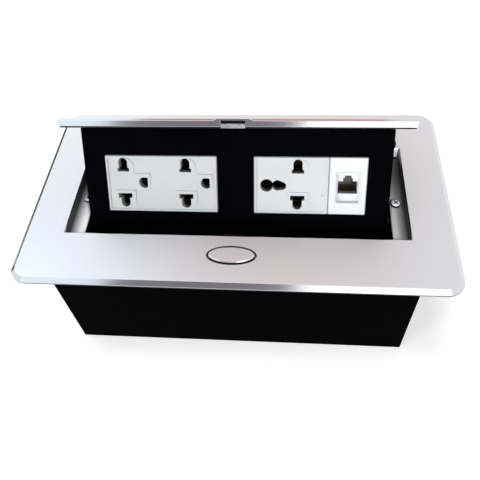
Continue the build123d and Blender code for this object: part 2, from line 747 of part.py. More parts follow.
def earth_slot():
    """D-shaped earth hole: a circle cut flat at its right and a little at its top."""
    return Pos(0.95, 0.9) * Circle(3.5) & Pos(-2.0, -1.0) * Rectangle(10, 10)


def earth_keyhole():
    """Earth hole of the universal outlet: a circle joined to a hole that tapers to the right."""
    wide, narrow = Pos(-12.2, 0.1) * Circle(3.2), Pos(-9.2, -0.3) * Circle(2.4)
    return Pos(-18.7, 0) * Circle(3.9) + make_hull(wide.edges() + narrow.edges())


def arched(left, right, flat_v, shoulder_v, crown_v):
    """A raised field with one flat edge, two straight sides and one arched edge."""
    middle = (left + right) / 2
    sides = Polyline((left, shoulder_v), (left, flat_v), (right, flat_v), (right, shoulder_v))
    arch = ThreePointArc((right, shoulder_v), (middle, crown_v), (left, shoulder_v))
    return make_face(Wire([*sides.edges(), *arch.edges()]))


def sloped_pad(outline):
    """A field that rises from the plate at its lower edge to the rim's height at its upper edge."""
    limits = outline.bounding_box()
    low, high = limits.min.Y, limits.max.Y
    slope = [(low, -0.5), (high, -0.5), (high, field_depth), (low, 0.04)]
    return Pos(0, 0, -0.5) * extrude(outline, 1.5) & profile_x(slope, limits.min.X, limits.max.X)


def upper_pad():
    """Raised field round the upper slot, arched at the top."""
    return sloped_pad(arched(-5.3, 6.3, 3.9, 12.2, 16.1))


def lower_pad():
    """Raised field round the lower slot, arched at the bottom."""
    return sloped_pad(arched(-6.2, 6.8, -4.2, -12.6, -16.1))


def earth_pad():
    """Raised field round the D-shaped earth hole."""
    return sloped_pad(arched(-4.4, 4.6, 6.3, -3.8, -5.9))


def outlet_face(middle, width, outlets, earths, pads, dimples):
    """A moulded cover: rim, sunk field, raised pads, sleeves behind the slots, skirt with clips."""
    plate = extrude(RectangleRounded(width, plate_height, 0.8), plate_proud)
    plate = chamfer(plate.edges().group_by(Axis.Z)[-1], 0.5)
    field = RectangleRounded(width - 3.0, plate_height - 3.0, 0.6)
    plate -= Pos(0, 0, plate_proud - field_depth) * extrude(field, 1)
    within = Rectangle(width - 2 * skirt_inset, skirt_height)
    skirt = within - Rectangle(width - 2 * (skirt_inset + skirt_wall), skirt_height - 2 * skirt_wall)
    plate += Pos(0, 0, -skirt_depth) * extrude(skirt, skirt_depth)
    web = plate_proud - field_depth + web_depth
    plate += Pos(0, 0, -web_depth) * extrude(Rectangle(width - 4, plate_height - 4), web)
    for side in (-1, 1):
        for x in (-width / 4, width / 4):
            plate += clip_hook(x, side)
    for x, pad in [(x, pad) for x in outlets for pad in (upper_pad(), lower_pad())] + pads:
        plate += Pos(x, 0, plate_proud - field_depth) * pad
    holes = [Pos(x, 0) * slot for x in outlets for slot in (upper_slot(), lower_slot())]
    holes += [Pos(x, 0) * hole for x, hole in earths]
    for hole in holes:
        sleeve = offset(hole, sleeve_wall) & within
        plate += Pos(0, 0, -skirt_depth) * extrude(sleeve, skirt_depth)
    for hole in holes:
        plate -= Pos(0, 0, -skirt_depth - 1) * extrude(hole, skirt_depth + 4)
    for x, v in dimples:
        plate -= Pos(x, v, plate_proud) * Cylinder(0.65, 4 * dimple_depth)
    return on_panel(Pos(middle, plate_middle, 0) * plate)


def clip_hook(x, side):
    """A snap hook on a cover's skirt, that grips behind the panel's cut-out."""
    root = skirt_height / 2
    points = [(root, -1.7), (root + 0.9, -1.7), (root, -4.5)]
    hook = extrude(make_face(Polyline(*[(side * v, w) for v, w in points], close=True)), 4, both=True)
    return Pos(x, 0, 0) * Plane.YZ.location * hook


def duplex_holes():
    """Outlet middles and earth holes of the duplex plate."""
    outlets = (-23.6, -23.6 + outlet_pitch)
    return outlets, [(x + earth_offset, earth_slot()) for x in outlets]


def outlet_base(middle, width):
    """The rear housing of an outlet: open tray with two partitions and wire windows."""
    outer_w, outer_h = width - 3.6, plate_height - 3.0
    tray = block(-outer_w / 2, outer_w / 2, -outer_h / 2, outer_h / 2, -body_depth, -7.0)
    inner_w, inner_h = outer_w - 3.0, outer_h - 3.0
    tray -= block(-inner_w / 2, inner_w / 2, -inner_h / 2, inner_h / 2, -body_depth + 1.5, 0)
    for v in (-5.2, 5.2):
        tray += block(-outer_w / 2, outer_w / 2, v - 0.5, v + 0.5, -body_depth, -9.0)
    for v in (-10.5, 0, 10.5):
        tray -= Pos(outer_w / 2 - 6, v, -body_depth) * Cylinder(1.8, 6)
    return on_panel(Pos(middle, plate_middle, 0) * tray)


def contact_strip(start, end, v, jaws):
    """A pressed brass strip on the base's floor, with sprung jaws that meet in pairs."""
    floor = -body_depth + 1.5
    strip = block(start, end, v - 3.0, v + 3.0, floor, floor + 0.8)
    for x in jaws:
        for side in (-1, 1):
            low = [(side * 2.6, 0.8), (side * 1.9, 9.0), (side * 2.9, 12.5)]
            high = [(side * 3.5, 12.5), (side * 2.5, 9.0), (side * 3.2, 0.8)]
            leaf = extrude(make_face(Polyline(*low, *high, close=True)), 2.6, both=True)
            strip += Pos(x, v, floor) * Plane.YZ.location * leaf
    return strip


def contacts(middle, start, end, v, jaws, width):
    """One contact strip with the hole for its terminal screw."""
    strip = contact_strip(start, end, v, jaws)
    strip -= Pos(width / 2 - 7.8, v, -body_depth + 1.9) * Cylinder(1.4, 4)
    return on_panel(Pos(middle, plate_middle, 0) * strip)


def terminal_screws():
    """Six terminal screws through the bases into the contact strips."""
    screw = Rot(180, 0, 0) * pan_screw(1.35, 3.2, 2.5, 1.6)
    solids = []
    for middle, width in ((duplex_middle, duplex_width), (universal_middle, 2 * module_width)):
        for v in (-10.5, 0, 10.5):
            solids.append(Pos(middle + width / 2 - 7.8, plate_middle + v, -body_depth) * screw)
    return on_panel(group(solids))


def jack_opening():
    """The outline of the data socket, stepped twice above for the plug's latch."""
    mouth = Pos(0, -0.75) * Rectangle(11.7, 7.7)
    return mouth + Pos(0, 3.6) * Rectangle(5.9, 3.0) + Pos(0, 5.6) * Rectangle(4.0, 2.0)


def data_face():
    """The narrow cover of the data module, with a sunk field round the socket."""
    width = module_width
    plate = extrude(RectangleRounded(width, plate_height, 0.8), plate_proud)
    plate = chamfer(plate.edges().group_by(Axis.Z)[-1], 0.5)
    core = Rectangle(width - 2 * skirt_inset, skirt_height)
    plate += Pos(0, 0, -skirt_depth) * extrude(core, skirt_depth)
    for side in (-1, 1):
        plate += clip_hook(0, side)
    plate -= Pos(0, -1.2, -8) * extrude(Rectangle(13.4, 17.6), 12)
    rim = Pos(0, -1.2) * (Rectangle(15.6, 19.8) - Rectangle(14.4, 18.6))
    plate += Pos(0, 0, plate_proud - 0.2) * extrude(rim, 0.5)
    return on_panel(Pos(data_middle, plate_middle, 0) * plate)


def data_jack():
    """The jack insert behind the data cover, open at its stepped mouth."""
    body = block(-6.7, 6.7, -10.0, 7.6, -24, 0.3)
    body -= Pos(0, 0, -13) * extrude(jack_opening(), 16)
    body -= block(-5.9, 5.9, -10.5, -6.6, -0.5, 1)
    body += block(-6.7, 6.7, -7.5, 7.6, -28, -24)
    return on_panel(Pos(data_middle, plate_middle, 0) * body)


def jack_contacts():
    """Eight sloping contact wires in the floor of the data socket."""
    wires = []
    for number in range(8):
        x = (number - 3.5) * 1.02
        points = [(-4.6, -12.9), (-4.6, -5.0), (-1.8, -11.5), (-2.2, -11.7), (-4.2, -6.6), (-4.2, -12.9)]
        face = make_face(Polyline(*points, close=True))
        wires.append(Pos(x, 0, 0) * Plane.YZ.location * extrude(face, 0.2, both=True))
    return on_panel(Pos(data_middle, plate_middle, 0) * group(wires))


def rear_cover():
    """The folded sheet that closes the wiring space behind the accessories."""
    path = [(-73.0, -11.4), (-62.0, -33.0), (-12.0, -33.0), (-6.5, -26.0)]
    inner = [(-72.0, -11.0), (-61.4, -32.0), (-12.5, -32.0), (-7.3, -25.4)]
    face = make_face(Polyline(*path, *reversed(inner), close=True))
    half = cheek_inner - 0.2
    cover = Plane.YZ.location * extrude(face, half, both=True)
    for side in (-1, 1):
        cover += block(*sorted((side * half, side * (half - 1))), -60, -14, -33, -24)
        for v in cover_screw_heights:
            cover -= Pos(side * half, v, cover_screw_depth) * Rot(0, 90, 0) * Cylinder(1.3, 6)
    for x in (-60, 60):
        cover -= Pos(x, -52, -32) * Cylinder(5, 6)
    return on_panel(cover)


def cover_screws():
    """Four short screws from the cheeks into the rear cover's ears."""
    solids = []
    for side in (-1, 1):
        for v in cover_screw_heights:
            screw = pan_screw(1.25, 3.4, 2.3, 1.4)
            solids.append(Pos(side * cheek_outer, v, cover_screw_depth) * Rot(0, 90 * side, 0) * screw)
    return on_panel(group(solids))


duplex_outlets, duplex_earths = duplex_holes()
duplex_pads = [(x, earth_pad()) for x, hole in duplex_earths]
universal_outlet = 3.9
parts = {
    "bezel": bezel(),
    "housing_tub": housing_tub(),
    "tub_rear": tub_rear(),
    "tub_end_left": tub_end(-1),
    "tub_end_right": tub_end(1),
    "wall_spacers": wall_spacers(),
    "side_screws": side_screws(),
    "mains_grommet": grommet(mains_entry, mains_bore),
    "data_grommet": grommet(data_entry, data_bore),
    "earth_stud": earth_stud(),
    "earth_nut": earth_nut(),
    "latch_bracket": latch_bracket(),
    "bracket_screws": bracket_screws(),
    "latch_spring": latch_spring(),
    "latch_slider": latch_slider(),
    "release_button": release_button(),
    "hinge_shaft": hinge_shaft(),
    "shaft_clips": shaft_clips(),
    "torsion_spring_left": torsion_spring(-1),
    "torsion_spring_right": torsion_spring(1),
    "damper_body": damper_body(),
    "damper_screws": damper_screws(),
    "damper_pinion": damper_pinion(),
    "gear_sector": gear_sector(),
    "sector_rivets": sector_rivets(),
    "lid": lid(),
    "lid_screws": lid_screws(),
    "striker_leaf": striker_leaf(),
    "striker_rivets": striker_rivets(),
    "socket_panel": socket_panel(),
    "cheek_left": cheek(-1),
    "cheek_right": cheek(1),
    "cheek_bushes": cheek_bushes(),
    "cheek_screws": cheek_screws(),
    "rear_cover": rear_cover(),
    "cover_screws": cover_screws(),
    "duplex_face": outlet_face(duplex_middle, duplex_width, duplex_outlets, duplex_earths, duplex_pads, []),
    "duplex_base": outlet_base(duplex_middle, duplex_width),
    "universal_face": outlet_face(universal_middle, 2 * module_width, (universal_outlet,),
                                  [(universal_outlet, earth_keyhole())], [], [(18.9, -5.4)]),
    "universal_base": outlet_base(universal_middle, 2 * module_width),
    "terminal_screws": terminal_screws(),
    "data_face": data_face(),
    "data_jack": data_jack(),
    "jack_contacts": jack_contacts(),
}
for name, v in (("line", 10.5), ("earth", 0.0), ("neutral", -10.5)):
    shift = earth_offset if name == "earth" else 0.0
    jaws = [x + shift for x in duplex_outlets]
    parts[f"duplex_{name}_contact"] = contacts(duplex_middle, -28.0, 30.5, v, jaws, duplex_width)
    jaws = [universal_outlet - 18.7] if name == "earth" else [universal_outlet]
    parts[f"universal_{name}_contact"] = contacts(universal_middle, -18.5, 18.5, v, jaws, 2 * module_width)

for name, shape in parts.items():
    export_step(shape, f"parts/{name}.step")
print(len(parts), "nodes written")
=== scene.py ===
import json
import math
import bmesh
import bpy
import numpy as np
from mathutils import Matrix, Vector


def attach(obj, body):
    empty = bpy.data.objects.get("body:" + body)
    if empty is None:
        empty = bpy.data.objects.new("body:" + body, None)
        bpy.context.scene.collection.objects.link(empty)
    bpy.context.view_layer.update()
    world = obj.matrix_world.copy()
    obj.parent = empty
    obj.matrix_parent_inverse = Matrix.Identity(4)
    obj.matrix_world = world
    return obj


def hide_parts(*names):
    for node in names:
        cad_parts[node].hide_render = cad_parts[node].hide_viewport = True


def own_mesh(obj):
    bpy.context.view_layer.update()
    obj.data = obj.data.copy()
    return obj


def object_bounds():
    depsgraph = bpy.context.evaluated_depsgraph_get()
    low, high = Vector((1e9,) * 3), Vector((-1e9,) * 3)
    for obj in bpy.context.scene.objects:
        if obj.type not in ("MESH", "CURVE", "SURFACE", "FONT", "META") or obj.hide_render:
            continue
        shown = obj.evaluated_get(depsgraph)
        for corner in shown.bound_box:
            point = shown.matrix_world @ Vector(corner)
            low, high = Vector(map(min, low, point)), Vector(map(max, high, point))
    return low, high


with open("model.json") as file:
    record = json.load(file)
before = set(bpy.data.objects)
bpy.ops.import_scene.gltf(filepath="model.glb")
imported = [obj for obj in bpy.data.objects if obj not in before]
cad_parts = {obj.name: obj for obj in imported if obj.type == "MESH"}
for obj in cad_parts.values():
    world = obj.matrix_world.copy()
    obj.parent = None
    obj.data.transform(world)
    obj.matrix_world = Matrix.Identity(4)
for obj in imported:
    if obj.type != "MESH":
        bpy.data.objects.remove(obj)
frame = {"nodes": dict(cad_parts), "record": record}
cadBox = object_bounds()
print("frame loaded:", len(frame["nodes"]), "nodes")

# what a user would change about the camera and the room; lengths in metres, angles in radians
studio = {
    "cameraPlace": (0.03388, -0.23393, 0.2650),
    "cameraTurn": (0.6382, 0.0591, 0.0726),
    "focalLengthMm": 40.65,
    "sensorWidthMm": 36.0,
    "nearestSeen": 0.01,
    "floorHeight": cadBox[0].z - 0.0002,
    "floorHalf": 4.0,
    "floorColour": "#F4F4F4",
    "floorRoughness": 0.9,
    "floorSpecular": 0.1,
    "floorGlow": 0.42,
    "roomColour": "#FFFFFF",
    "roomOnObject": 0.2,
    # what lights the floor alone and gives it the object's shadow: strength, where it shines from, and the
    # angle that it spreads over
    "floorSun": (1.5, (-0.25, 0.12, 1.0), 0.5),
    # power in watts, place, width, height and use of each lamp: one for shine shows in the metal alone, one
    # for light falls on every surface and doesn't show in the metal, and one for an end of the opening lights
    # the ledge and the walls there alone, which the cartridge shades; all of them face the object
    "lamps": {
        "skyLamp": (2.6, (-0.9, 0.2, 1.3), 1.0, 0.8, "shine"),
        "windowLamp": (0.7, (0.38, -0.85, 0.72), 0.62, 0.6, "shine"),
        "frontLamp": (0.7, (0.17, -0.78, 0.27), 0.25, 0.25, "shine"),
        "reliefLamp": (10.4, (-0.9, -0.8, 0.14), 0.4, 0.3, "light"),
        "rightLamp": (0.64, (0.27, -0.3, 0.23), 0.12, 0.12, "light"),
        "leftEndLamp": (3.3, (0.135, -0.34, 0.42), 0.1, 0.1, "leftEnd"),
        "rightEndLamp": (1.15, (-0.075, -0.36, 0.43), 0.1, 0.1, "rightEnd"),
    },
    "skyColour": "#D4EAFF",
    # cards that show in the metal alone, as the walls of a room do: colour, strength, place, width and height
    "cards": {
        "nearWall": ("#858286", 1.0, (-0.175, -0.78, 0.72), 0.45, 0.5),
        "farWall": ("#CFA99E", 1.0, (-0.06, 1.0, 1.1), 0.8, 0.6),
        "darkCorner": ("#4A4648", 1.0, (-0.33, 0.155, -0.055), 0.4, 0.06),
        "leftWindow": ("#E8F2FC", 1.33, (-0.66, -0.78, 0.72), 0.4, 0.5),
        "leftSky": ("#EBF3F9", 1.32, (-0.85, 0.85, 1.1), 0.7, 1.0),
        "ceiling": ("#F6F2F0", 1.3, (-0.05, 0.45, 1.38), 0.8, 0.5),
        "rearWindow": ("#FFFFFF", 1.65, (-0.17, 1.0, 0.54), 1.0, 0.42),
    },
}

noiseRange = (0.3, 0.7)  # what a noise pattern mostly keeps within


def linearColour(hexCode):
    # each sRGB channel c becomes c / 12.92 near black, else ((c + 0.055) / 1.055) to the power 2.4
    channels = np.array([int(hexCode[i:i + 2], 16) for i in (1, 3, 5)]) / 255
    linear = np.where(channels <= 0.04045, channels / 12.92, ((channels + 0.055) / 1.055) ** 2.4)
    return (*linear.tolist(), 1.0)


def addNode(tree, kind, settings=None, links=None):
    # a node, then its settings by socket or by property, then what feeds its sockets
    node = tree.nodes.new(kind)
    for name, value in (settings or {}).items():
        if isinstance(name, int) or name in node.inputs:
            node.inputs[name].default_value = value
        else:
            setattr(node, name, value)
    for name, source in (links or {}).items():
        tree.links.new(source, node.inputs[name])
    return node


def newMaterial(name):
    # a material, its node tree, its shader, and the node that gives each point's place and facing
    material = bpy.data.materials.new(name)
    material.use_nodes = True
    tree = material.node_tree
    tree.nodes.clear()
    shader = addNode(tree, "ShaderNodeBsdfPrincipled")
    addNode(tree, "ShaderNodeOutputMaterial", links={"Surface": shader.outputs["BSDF"]})
    place = addNode(tree, "ShaderNodeTexCoord")
    return material, tree, shader, place


def tintBetween(tree, factor, darkHex, lightHex, within=noiseRange):
    # a colour that runs from dark to light as factor goes through the range
    ramp = addNode(tree, "ShaderNodeValToRGB", links={"Fac": factor})
    for stop, position, shade in zip(ramp.color_ramp.elements, within, (darkHex, lightHex)):
        stop.position = position
        stop.color = linearColour(shade)
    return ramp.outputs["Color"]


def grain(tree, place, sizeMm, detail=2.0):
    # noise whose lumps are about sizeMm across on the object
    return addNode(tree, "ShaderNodeTexNoise", {"Scale": 1000 / sizeMm, "Detail": detail},
                   {"Vector": place.outputs["Object"]}).outputs["Fac"]


def spread(tree, factor, fromRange, toRange):
    # factor carried in a straight line from one range to another, held at the ends
    ranges = {"From Min": fromRange[0], "From Max": fromRange[1], "To Min": toRange[0], "To Max": toRange[1]}
    return addNode(tree, "ShaderNodeMapRange", ranges, {"Value": factor}).outputs["Result"]


def alongDirection(tree, vector, direction):
    # how far the vector reaches along a direction
    return addNode(tree, "ShaderNodeVectorMath", {"operation": "DOT_PRODUCT", 1: direction},
                   {0: vector}).outputs["Value"]


def feedShader(tree, shader, colour, roughness, relief, height, strength=0.5):
    # the shader's colour, its roughness, and a relief whose lumps stand height metres proud
    bump = addNode(tree, "ShaderNodeBump", {"Distance": height, "Strength": strength}, {"Height": relief})
    tree.links.new(colour, shader.inputs["Base Color"])
    tree.links.new(roughness, shader.inputs["Roughness"])
    tree.links.new(bump.outputs["Normal"], shader.inputs["Normal"])
    return bump


# the open lid's turn from closed, and the directions of its top and of its front face
lidTurn = math.radians(41.2)
lidUp = (0.0, math.sin(lidTurn), math.cos(lidTurn))
lidFront = (0.0, -math.cos(lidTurn), math.sin(lidTurn))
# how far the open panel leans back from upright, the direction that its face looks in, and how far the face
# is from the origin along it
panelTurn = math.radians(32.5)
panelOutward = (0.0, -math.cos(panelTurn), math.sin(panelTurn))
panelFace = 0.02


# blasted and anodised aluminium: a fine even bead-blast that looks silver-white and soft, with edges cut
# after blasting that mirror the room; a face counts as blasted where it looks along the blasted direction
anodised = {
    "light": "#DFE0E3", "dark": "#D6D7DB", "blastMm": 0.45, "blastHeight": 0.00002,
    "blastFacing": (0.955, 0.99), "smudgeMm": 38.0, "blastedRoughness": (0.33, 0.39), "cutRoughness": 0.13,
}
# the upright faces of the frame and the button are dull, and so is the flared rim of the button's hole:
# painted shade on them, nearly black near the top and black deeper, and grey spray on the opening's rear wall
upright = {
    # the first two colours here are painted shade: nearly black near the top, and black deeper down
    "wallShade": "#28282A", "spray": "#DCDCE0", "paint": "#08080A", "shadeTopMm": -4.5, "shadeLowMm": -7.0,
    "roughness": 0.6, "levelRange": (0.25, 0.4), "rearFacing": -0.9,
    "rimYMm": -52.5, "rimHalfMm": (15.5, 7.3), "rimLevel": 0.93,
}
# painted shade on the lid, in black: on its underside, and in its finger notch behind the front face and
# below the top
lidShade = {
    "colour": "#0A0A0E", "roughness": 0.5, "downFacing": (-0.45, -0.35),
    "notchHalfMm": 7.45, "notchFrontMm": 33.0, "notchTopMm": 45.6,
}


def buttonRimMask(tree, place, level):
    # 1 on the flared rim of the button's hole, where the gap's shade is painted: within an ellipse round the
    # button, and not level
    halfX, halfY = upright["rimHalfMm"]
    scale, shift = (1000 / halfX, 1000 / halfY, 0.0), (0.0, -upright["rimYMm"] / halfY, 0.0)
    centred = addNode(tree, "ShaderNodeMapping", {"Scale": scale, "Location": shift},
                      {"Vector": place.outputs["Object"]}).outputs["Vector"]
    radius = addNode(tree, "ShaderNodeVectorMath", {"operation": "LENGTH"}, {0: centred}).outputs["Value"]
    near = addNode(tree, "ShaderNodeMath", {"operation": "LESS_THAN", 1: 1.0}, {0: radius}).outputs[0]
    slanted = addNode(tree, "ShaderNodeMath", {"operation": "LESS_THAN", 1: upright["rimLevel"]},
                      {0: level}).outputs[0]
    return addNode(tree, "ShaderNodeMath", {"operation": "MULTIPLY"}, {0: near, 1: slanted}).outputs[0]


def uprightShadeAndSpray(tree, place):
    # painted shade, nearly black near the rim and black with depth, and grey spray on the opening's rear
    # wall, which looks forward and is behind the middle
    spot = addNode(tree, "ShaderNodeSeparateXYZ", links={0: place.outputs["Object"]})
    facing = addNode(tree, "ShaderNodeSeparateXYZ", links={0: place.outputs["Normal"]}).outputs["Y"]
    depths = (upright["shadeLowMm"] / 1000, upright["shadeTopMm"] / 1000)
    deep = spread(tree, spot.outputs["Z"], depths, (1.0, 0.0))
    forward = addNode(tree, "ShaderNodeMath", {"operation": "LESS_THAN", 1: upright["rearFacing"]},
                      {0: facing}).outputs[0]
    behind = addNode(tree, "ShaderNodeMath", {"operation": "GREATER_THAN", 1: 0.0},
                     {0: spot.outputs["Y"]}).outputs[0]
    rear = addNode(tree, "ShaderNodeMath", {"operation": "MULTIPLY"}, {0: forward, 1: behind}).outputs[0]
    # painted shade: nearly black near the top, going to black deeper down
    colours = {6: linearColour(upright["wallShade"]), 7: linearColour(upright["paint"]), "data_type": "RGBA"}
    side = addNode(tree, "ShaderNodeMix", colours, {0: deep}).outputs[2]
    return addNode(tree, "ShaderNodeMix", {7: linearColour(upright["spray"]), "data_type": "RGBA"},
                   {0: rear, 6: side}).outputs[2]


def shadeUpright(tree, place, tint, withRim=False):
    # a mask that is 1 where the surface stands upright, 0 where it lies flat or slopes, and withRim also 1 on
    # the rim of the button's hole; the tint with painted shade laid over it there, and the shade's roughness
    height = addNode(tree, "ShaderNodeSeparateXYZ", links={0: place.outputs["Normal"]}).outputs["Z"]
    level = addNode(tree, "ShaderNodeMath", {"operation": "ABSOLUTE"}, {0: height}).outputs[0]
    shadeMask = spread(tree, level, upright["levelRange"], (1.0, 0.0))
    finish = uprightShadeAndSpray(tree, place)
    if withRim:
        rim = buttonRimMask(tree, place, level)
        shadeMask = addNode(tree, "ShaderNodeMath", {"operation": "MAXIMUM"}, {0: shadeMask, 1: rim}).outputs[0]
    colour = addNode(tree, "ShaderNodeMix", {"data_type": "RGBA"},
                     {0: shadeMask, 6: tint, 7: finish}).outputs[2]
    return shadeMask, colour, upright["roughness"]


def shadeLid(tree, place, tint):
    # a mask that is 1 on faces that look down and inside the notch, which is near the middle, behind the
    # front and below the top; the tint with black painted shade laid over it there, and its roughness
    upward = alongDirection(tree, place.outputs["Normal"], lidUp)
    down = spread(tree, upward, lidShade["downFacing"], (1.0, 0.0))
    side = addNode(tree, "ShaderNodeSeparateXYZ", links={0: place.outputs["Object"]}).outputs["X"]
    across = addNode(tree, "ShaderNodeMath", {"operation": "ABSOLUTE"}, {0: side}).outputs[0]
    forward = alongDirection(tree, place.outputs["Object"], lidFront)
    height = alongDirection(tree, place.outputs["Object"], lidUp)
    notch = addNode(tree, "ShaderNodeMath", {"operation": "LESS_THAN", 1: lidShade["notchHalfMm"] / 1000},
                    {0: across}).outputs[0]
    for distance, limit in ((forward, "notchFrontMm"), (height, "notchTopMm")):
        inside = addNode(tree, "ShaderNodeMath", {"operation": "LESS_THAN", 1: lidShade[limit] / 1000},
                         {0: distance}).outputs[0]
        notch = addNode(tree, "ShaderNodeMath", {"operation": "MULTIPLY"}, {0: notch, 1: inside}).outputs[0]
    shadeMask = addNode(tree, "ShaderNodeMath", {"operation": "MAXIMUM"}, {0: notch, 1: down}).outputs[0]
    # black painted shade under the lid and in its notch
    black = {"data_type": "RGBA", 7: linearColour(lidShade["colour"])}
    colour = addNode(tree, "ShaderNodeMix", black, {0: shadeMask, 6: tint}).outputs[2]
    return shadeMask, colour, lidShade["roughness"]


def blastedAluminium(name, faceUp, cover, **options):
    # faceUp is the direction of the blasted faces, and the shading function lays painted shade over some of
    # the rest
    material, tree, shader, place = newMaterial(name)
    # the blast of real beads is 0.1 mm; 0.45 mm is the finest that a render of this size can show
    blast = grain(tree, place, anodised["blastMm"], detail=3.0)
    smudge = grain(tree, place, anodised["smudgeMm"], detail=3.0)
    squarely = alongDirection(tree, place.outputs["Normal"], faceUp)
    blasted = spread(tree, squarely, anodised["blastFacing"], (0.0, 1.0))
    handled = spread(tree, smudge, noiseRange, anodised["blastedRoughness"])
    rough = addNode(tree, "ShaderNodeMix", {2: anodised["cutRoughness"]}, {0: blasted, 3: handled}).outputs[0]
    tint = tintBetween(tree, blast, anodised["dark"], anodised["light"])
    shadeMask, colour, dullness = cover(tree, place, tint, **options)
    dull = addNode(tree, "ShaderNodeMix", {3: dullness}, {0: shadeMask, 2: rough}).outputs[0]
    bump = feedShader(tree, shader, colour, dull, blast, anodised["blastHeight"])
    tree.links.new(blasted, bump.inputs["Strength"])
    tree.links.new(spread(tree, shadeMask, (0.0, 1.0), (1.0, 0.0)), shader.inputs["Metallic"])
    return material


# paint or powder on sheet steel: size of the dust's patches, the roughness that they shift, and how strongly
# the peel shows
paint = {"dustMm": 14.0, "dustRange": (0.45, 0.8), "roughness": (0.46, 0.55), "peelStrength": 0.6, "ior": 1.5}


def paintedSteel(name, colour, worn, peelMm, peelHeight, specular):
    # black with a low orange peel that breaks up the few reflections it has
    material, tree, shader, place = newMaterial(name)
    peel = grain(tree, place, peelMm, detail=1.0)
    dust = grain(tree, place, paint["dustMm"], detail=5.0)
    tint = tintBetween(tree, dust, colour, worn, paint["dustRange"])
    gloss = spread(tree, dust, noiseRange, paint["roughness"])
    feedShader(tree, shader, tint, gloss, peel, peelHeight, paint["peelStrength"])
    shader.inputs["IOR"].default_value = paint["ior"]
    shader.inputs["Specular IOR Level"].default_value = specular
    return material


# moulded plastic: how far the faint patches reach that the melt leaves as it cools a little uneven
meltFlowMm = 22.0


def mouldedPlastic(name, dark, light, roughness, sparkMm, sparkHeight, ior=1.49):
    # the spark-eroded tool leaves a fine even texture that dulls the plastic
    material, tree, shader, place = newMaterial(name)
    spark = grain(tree, place, sparkMm)
    tint = tintBetween(tree, grain(tree, place, meltFlowMm), dark, light)
    feedShader(tree, shader, tint, spread(tree, spark, noiseRange, roughness), spark, sparkHeight)
    shader.inputs["IOR"].default_value = ior
    return material


# the wiring plates' plastic: size of the tool's spark texture and of the patches at the edge of the painted
# depth shade, how far these shift it, and how grey the painted shade on the steps round the raised pads is
wiring = {
    "sparkMm": 0.5, "sparkHeight": 0.000006, "depthShadeMm": 3.0, "depthShadeShift": 0.0008, "roughness": (0.31, 0.39),
    "stepShade": 0.45, "stepFacing": (0.72, 0.97), "ior": 1.58,
}


def wiringPolycarbonate(name, dark, light, depthShade, unshadedMm, darkestMm):
    # white moulded polycarbonate with a soft gloss; in its openings, from unshadedMm to darkestMm behind the
    # panel's face, painted shade turns it a smoky grey with depth, and faces that turn away from the front
    # get a little painted shade too
    material, tree, shader, place = newMaterial(name)
    spark = grain(tree, place, wiring["sparkMm"])
    along = alongDirection(tree, place.outputs["Object"], panelOutward)
    uneven = addNode(tree, "ShaderNodeMath", {"operation": "MULTIPLY_ADD", 1: wiring["depthShadeShift"]},
                     {0: grain(tree, place, wiring["depthShadeMm"], detail=3.0), 2: along}).outputs[0]
    # painted shade that grows with depth inside the openings
    depths = (panelFace - darkestMm / 1000, panelFace - unshadedMm / 1000)
    facing = alongDirection(tree, place.outputs["Normal"], panelOutward)
    # painted shade on the steps round the raised pads
    step = spread(tree, facing, wiring["stepFacing"], (wiring["stepShade"], 0.0))
    shade = addNode(tree, "ShaderNodeMath", {"operation": "MAXIMUM"},
                    {0: spread(tree, uneven, depths, (1.0, 0.0)), 1: step}).outputs[0]
    unshaded = tintBetween(tree, grain(tree, place, meltFlowMm), dark, light)
    colour = addNode(tree, "ShaderNodeMix", {"data_type": "RGBA", 7: linearColour(depthShade)},
                     {0: shade, 6: unshaded}).outputs[2]
    gloss = spread(tree, spark, noiseRange, wiring["roughness"])
    feedShader(tree, shader, colour, gloss, spark, wiring["sparkHeight"])
    shader.inputs["IOR"].default_value = wiring["ior"]
    return material


def workedMetal(name, dark, light, roughness, patchMm, streak, height):
    # bare or plated metal: crystals and rolling streaks shift its tint and its gloss from patch to patch
    material, tree, shader, place = newMaterial(name)
    stretched = addNode(tree, "ShaderNodeMapping", {"Scale": (1.0, streak, streak)},
                        {"Vector": place.outputs["Object"]})
    patch = addNode(tree, "ShaderNodeTexNoise", {"Scale": 1000 / patchMm, "Detail": 4.0},
                    {"Vector": stretched.outputs["Vector"]}).outputs["Fac"]
    tint = tintBetween(tree, patch, dark, light)
    feedShader(tree, shader, tint, spread(tree, patch, noiseRange, roughness), patch, height)
    shader.inputs["Metallic"].default_value = 1.0
    return material


# the side screws: where their heads rest, the screws' line, how much fuller a real head is than the plain
# one, how far in from the wall the mouth of the cross is, and where painted shade lies on any screw of this
# kind: in the cross, below its mouth, and in a thin ring where the head meets what it holds
screwHeads = {
    "wallMm": 105.5, "yMm": 5.0, "zMm": -15.3, "wider": 1.22, "taller": 1.45, "mouthMm": 2.6,
    "crossMm": 1.9, "ringMm": 2.8, "flakeMm": 0.9, "roughness": (0.38, 0.5), "metallic": 0.45,
    # the first colour here is painted shade for the cross and the ring round the head
    "screwShade": "#1B1B1D", "light": "#E4E6E9", "dark": "#C4C8CC",
}
# the ledge at each end of the opening, below the closed lid, and the screw that holds the frame through it:
# where the wall and the ledge's inner edge are, its top, sheet, fillet, bend and two ends, the screw's line
# and the mouth of its cross above the ledge, and where painted shade takes over from the grey spray towards
# the wall
ledges = {
    "wallMm": 105.5, "innerMm": 97.0, "topMm": -4.4, "sheetMm": 1.4, "filletMm": 1.4, "bendMm": 0.6,
    "cornerPoints": 8, "frontMm": -38.0, "rearMm": 36.0, "screwXMm": 100.7, "screwYMm": -4.3,
    # the dark colour here is painted shade by the wall
    "mouthMm": 1.85, "headWider": 1.14, "spray": "#E8E8EC", "wallShade": "#29292B", "sprayMm": 100.0,
    "wallShadeMm": 106.2, "gritMm": 0.8, "gritHeight": 0.00001, "sprayShift": 0.0006, "roughness": (0.5, 0.6),
}


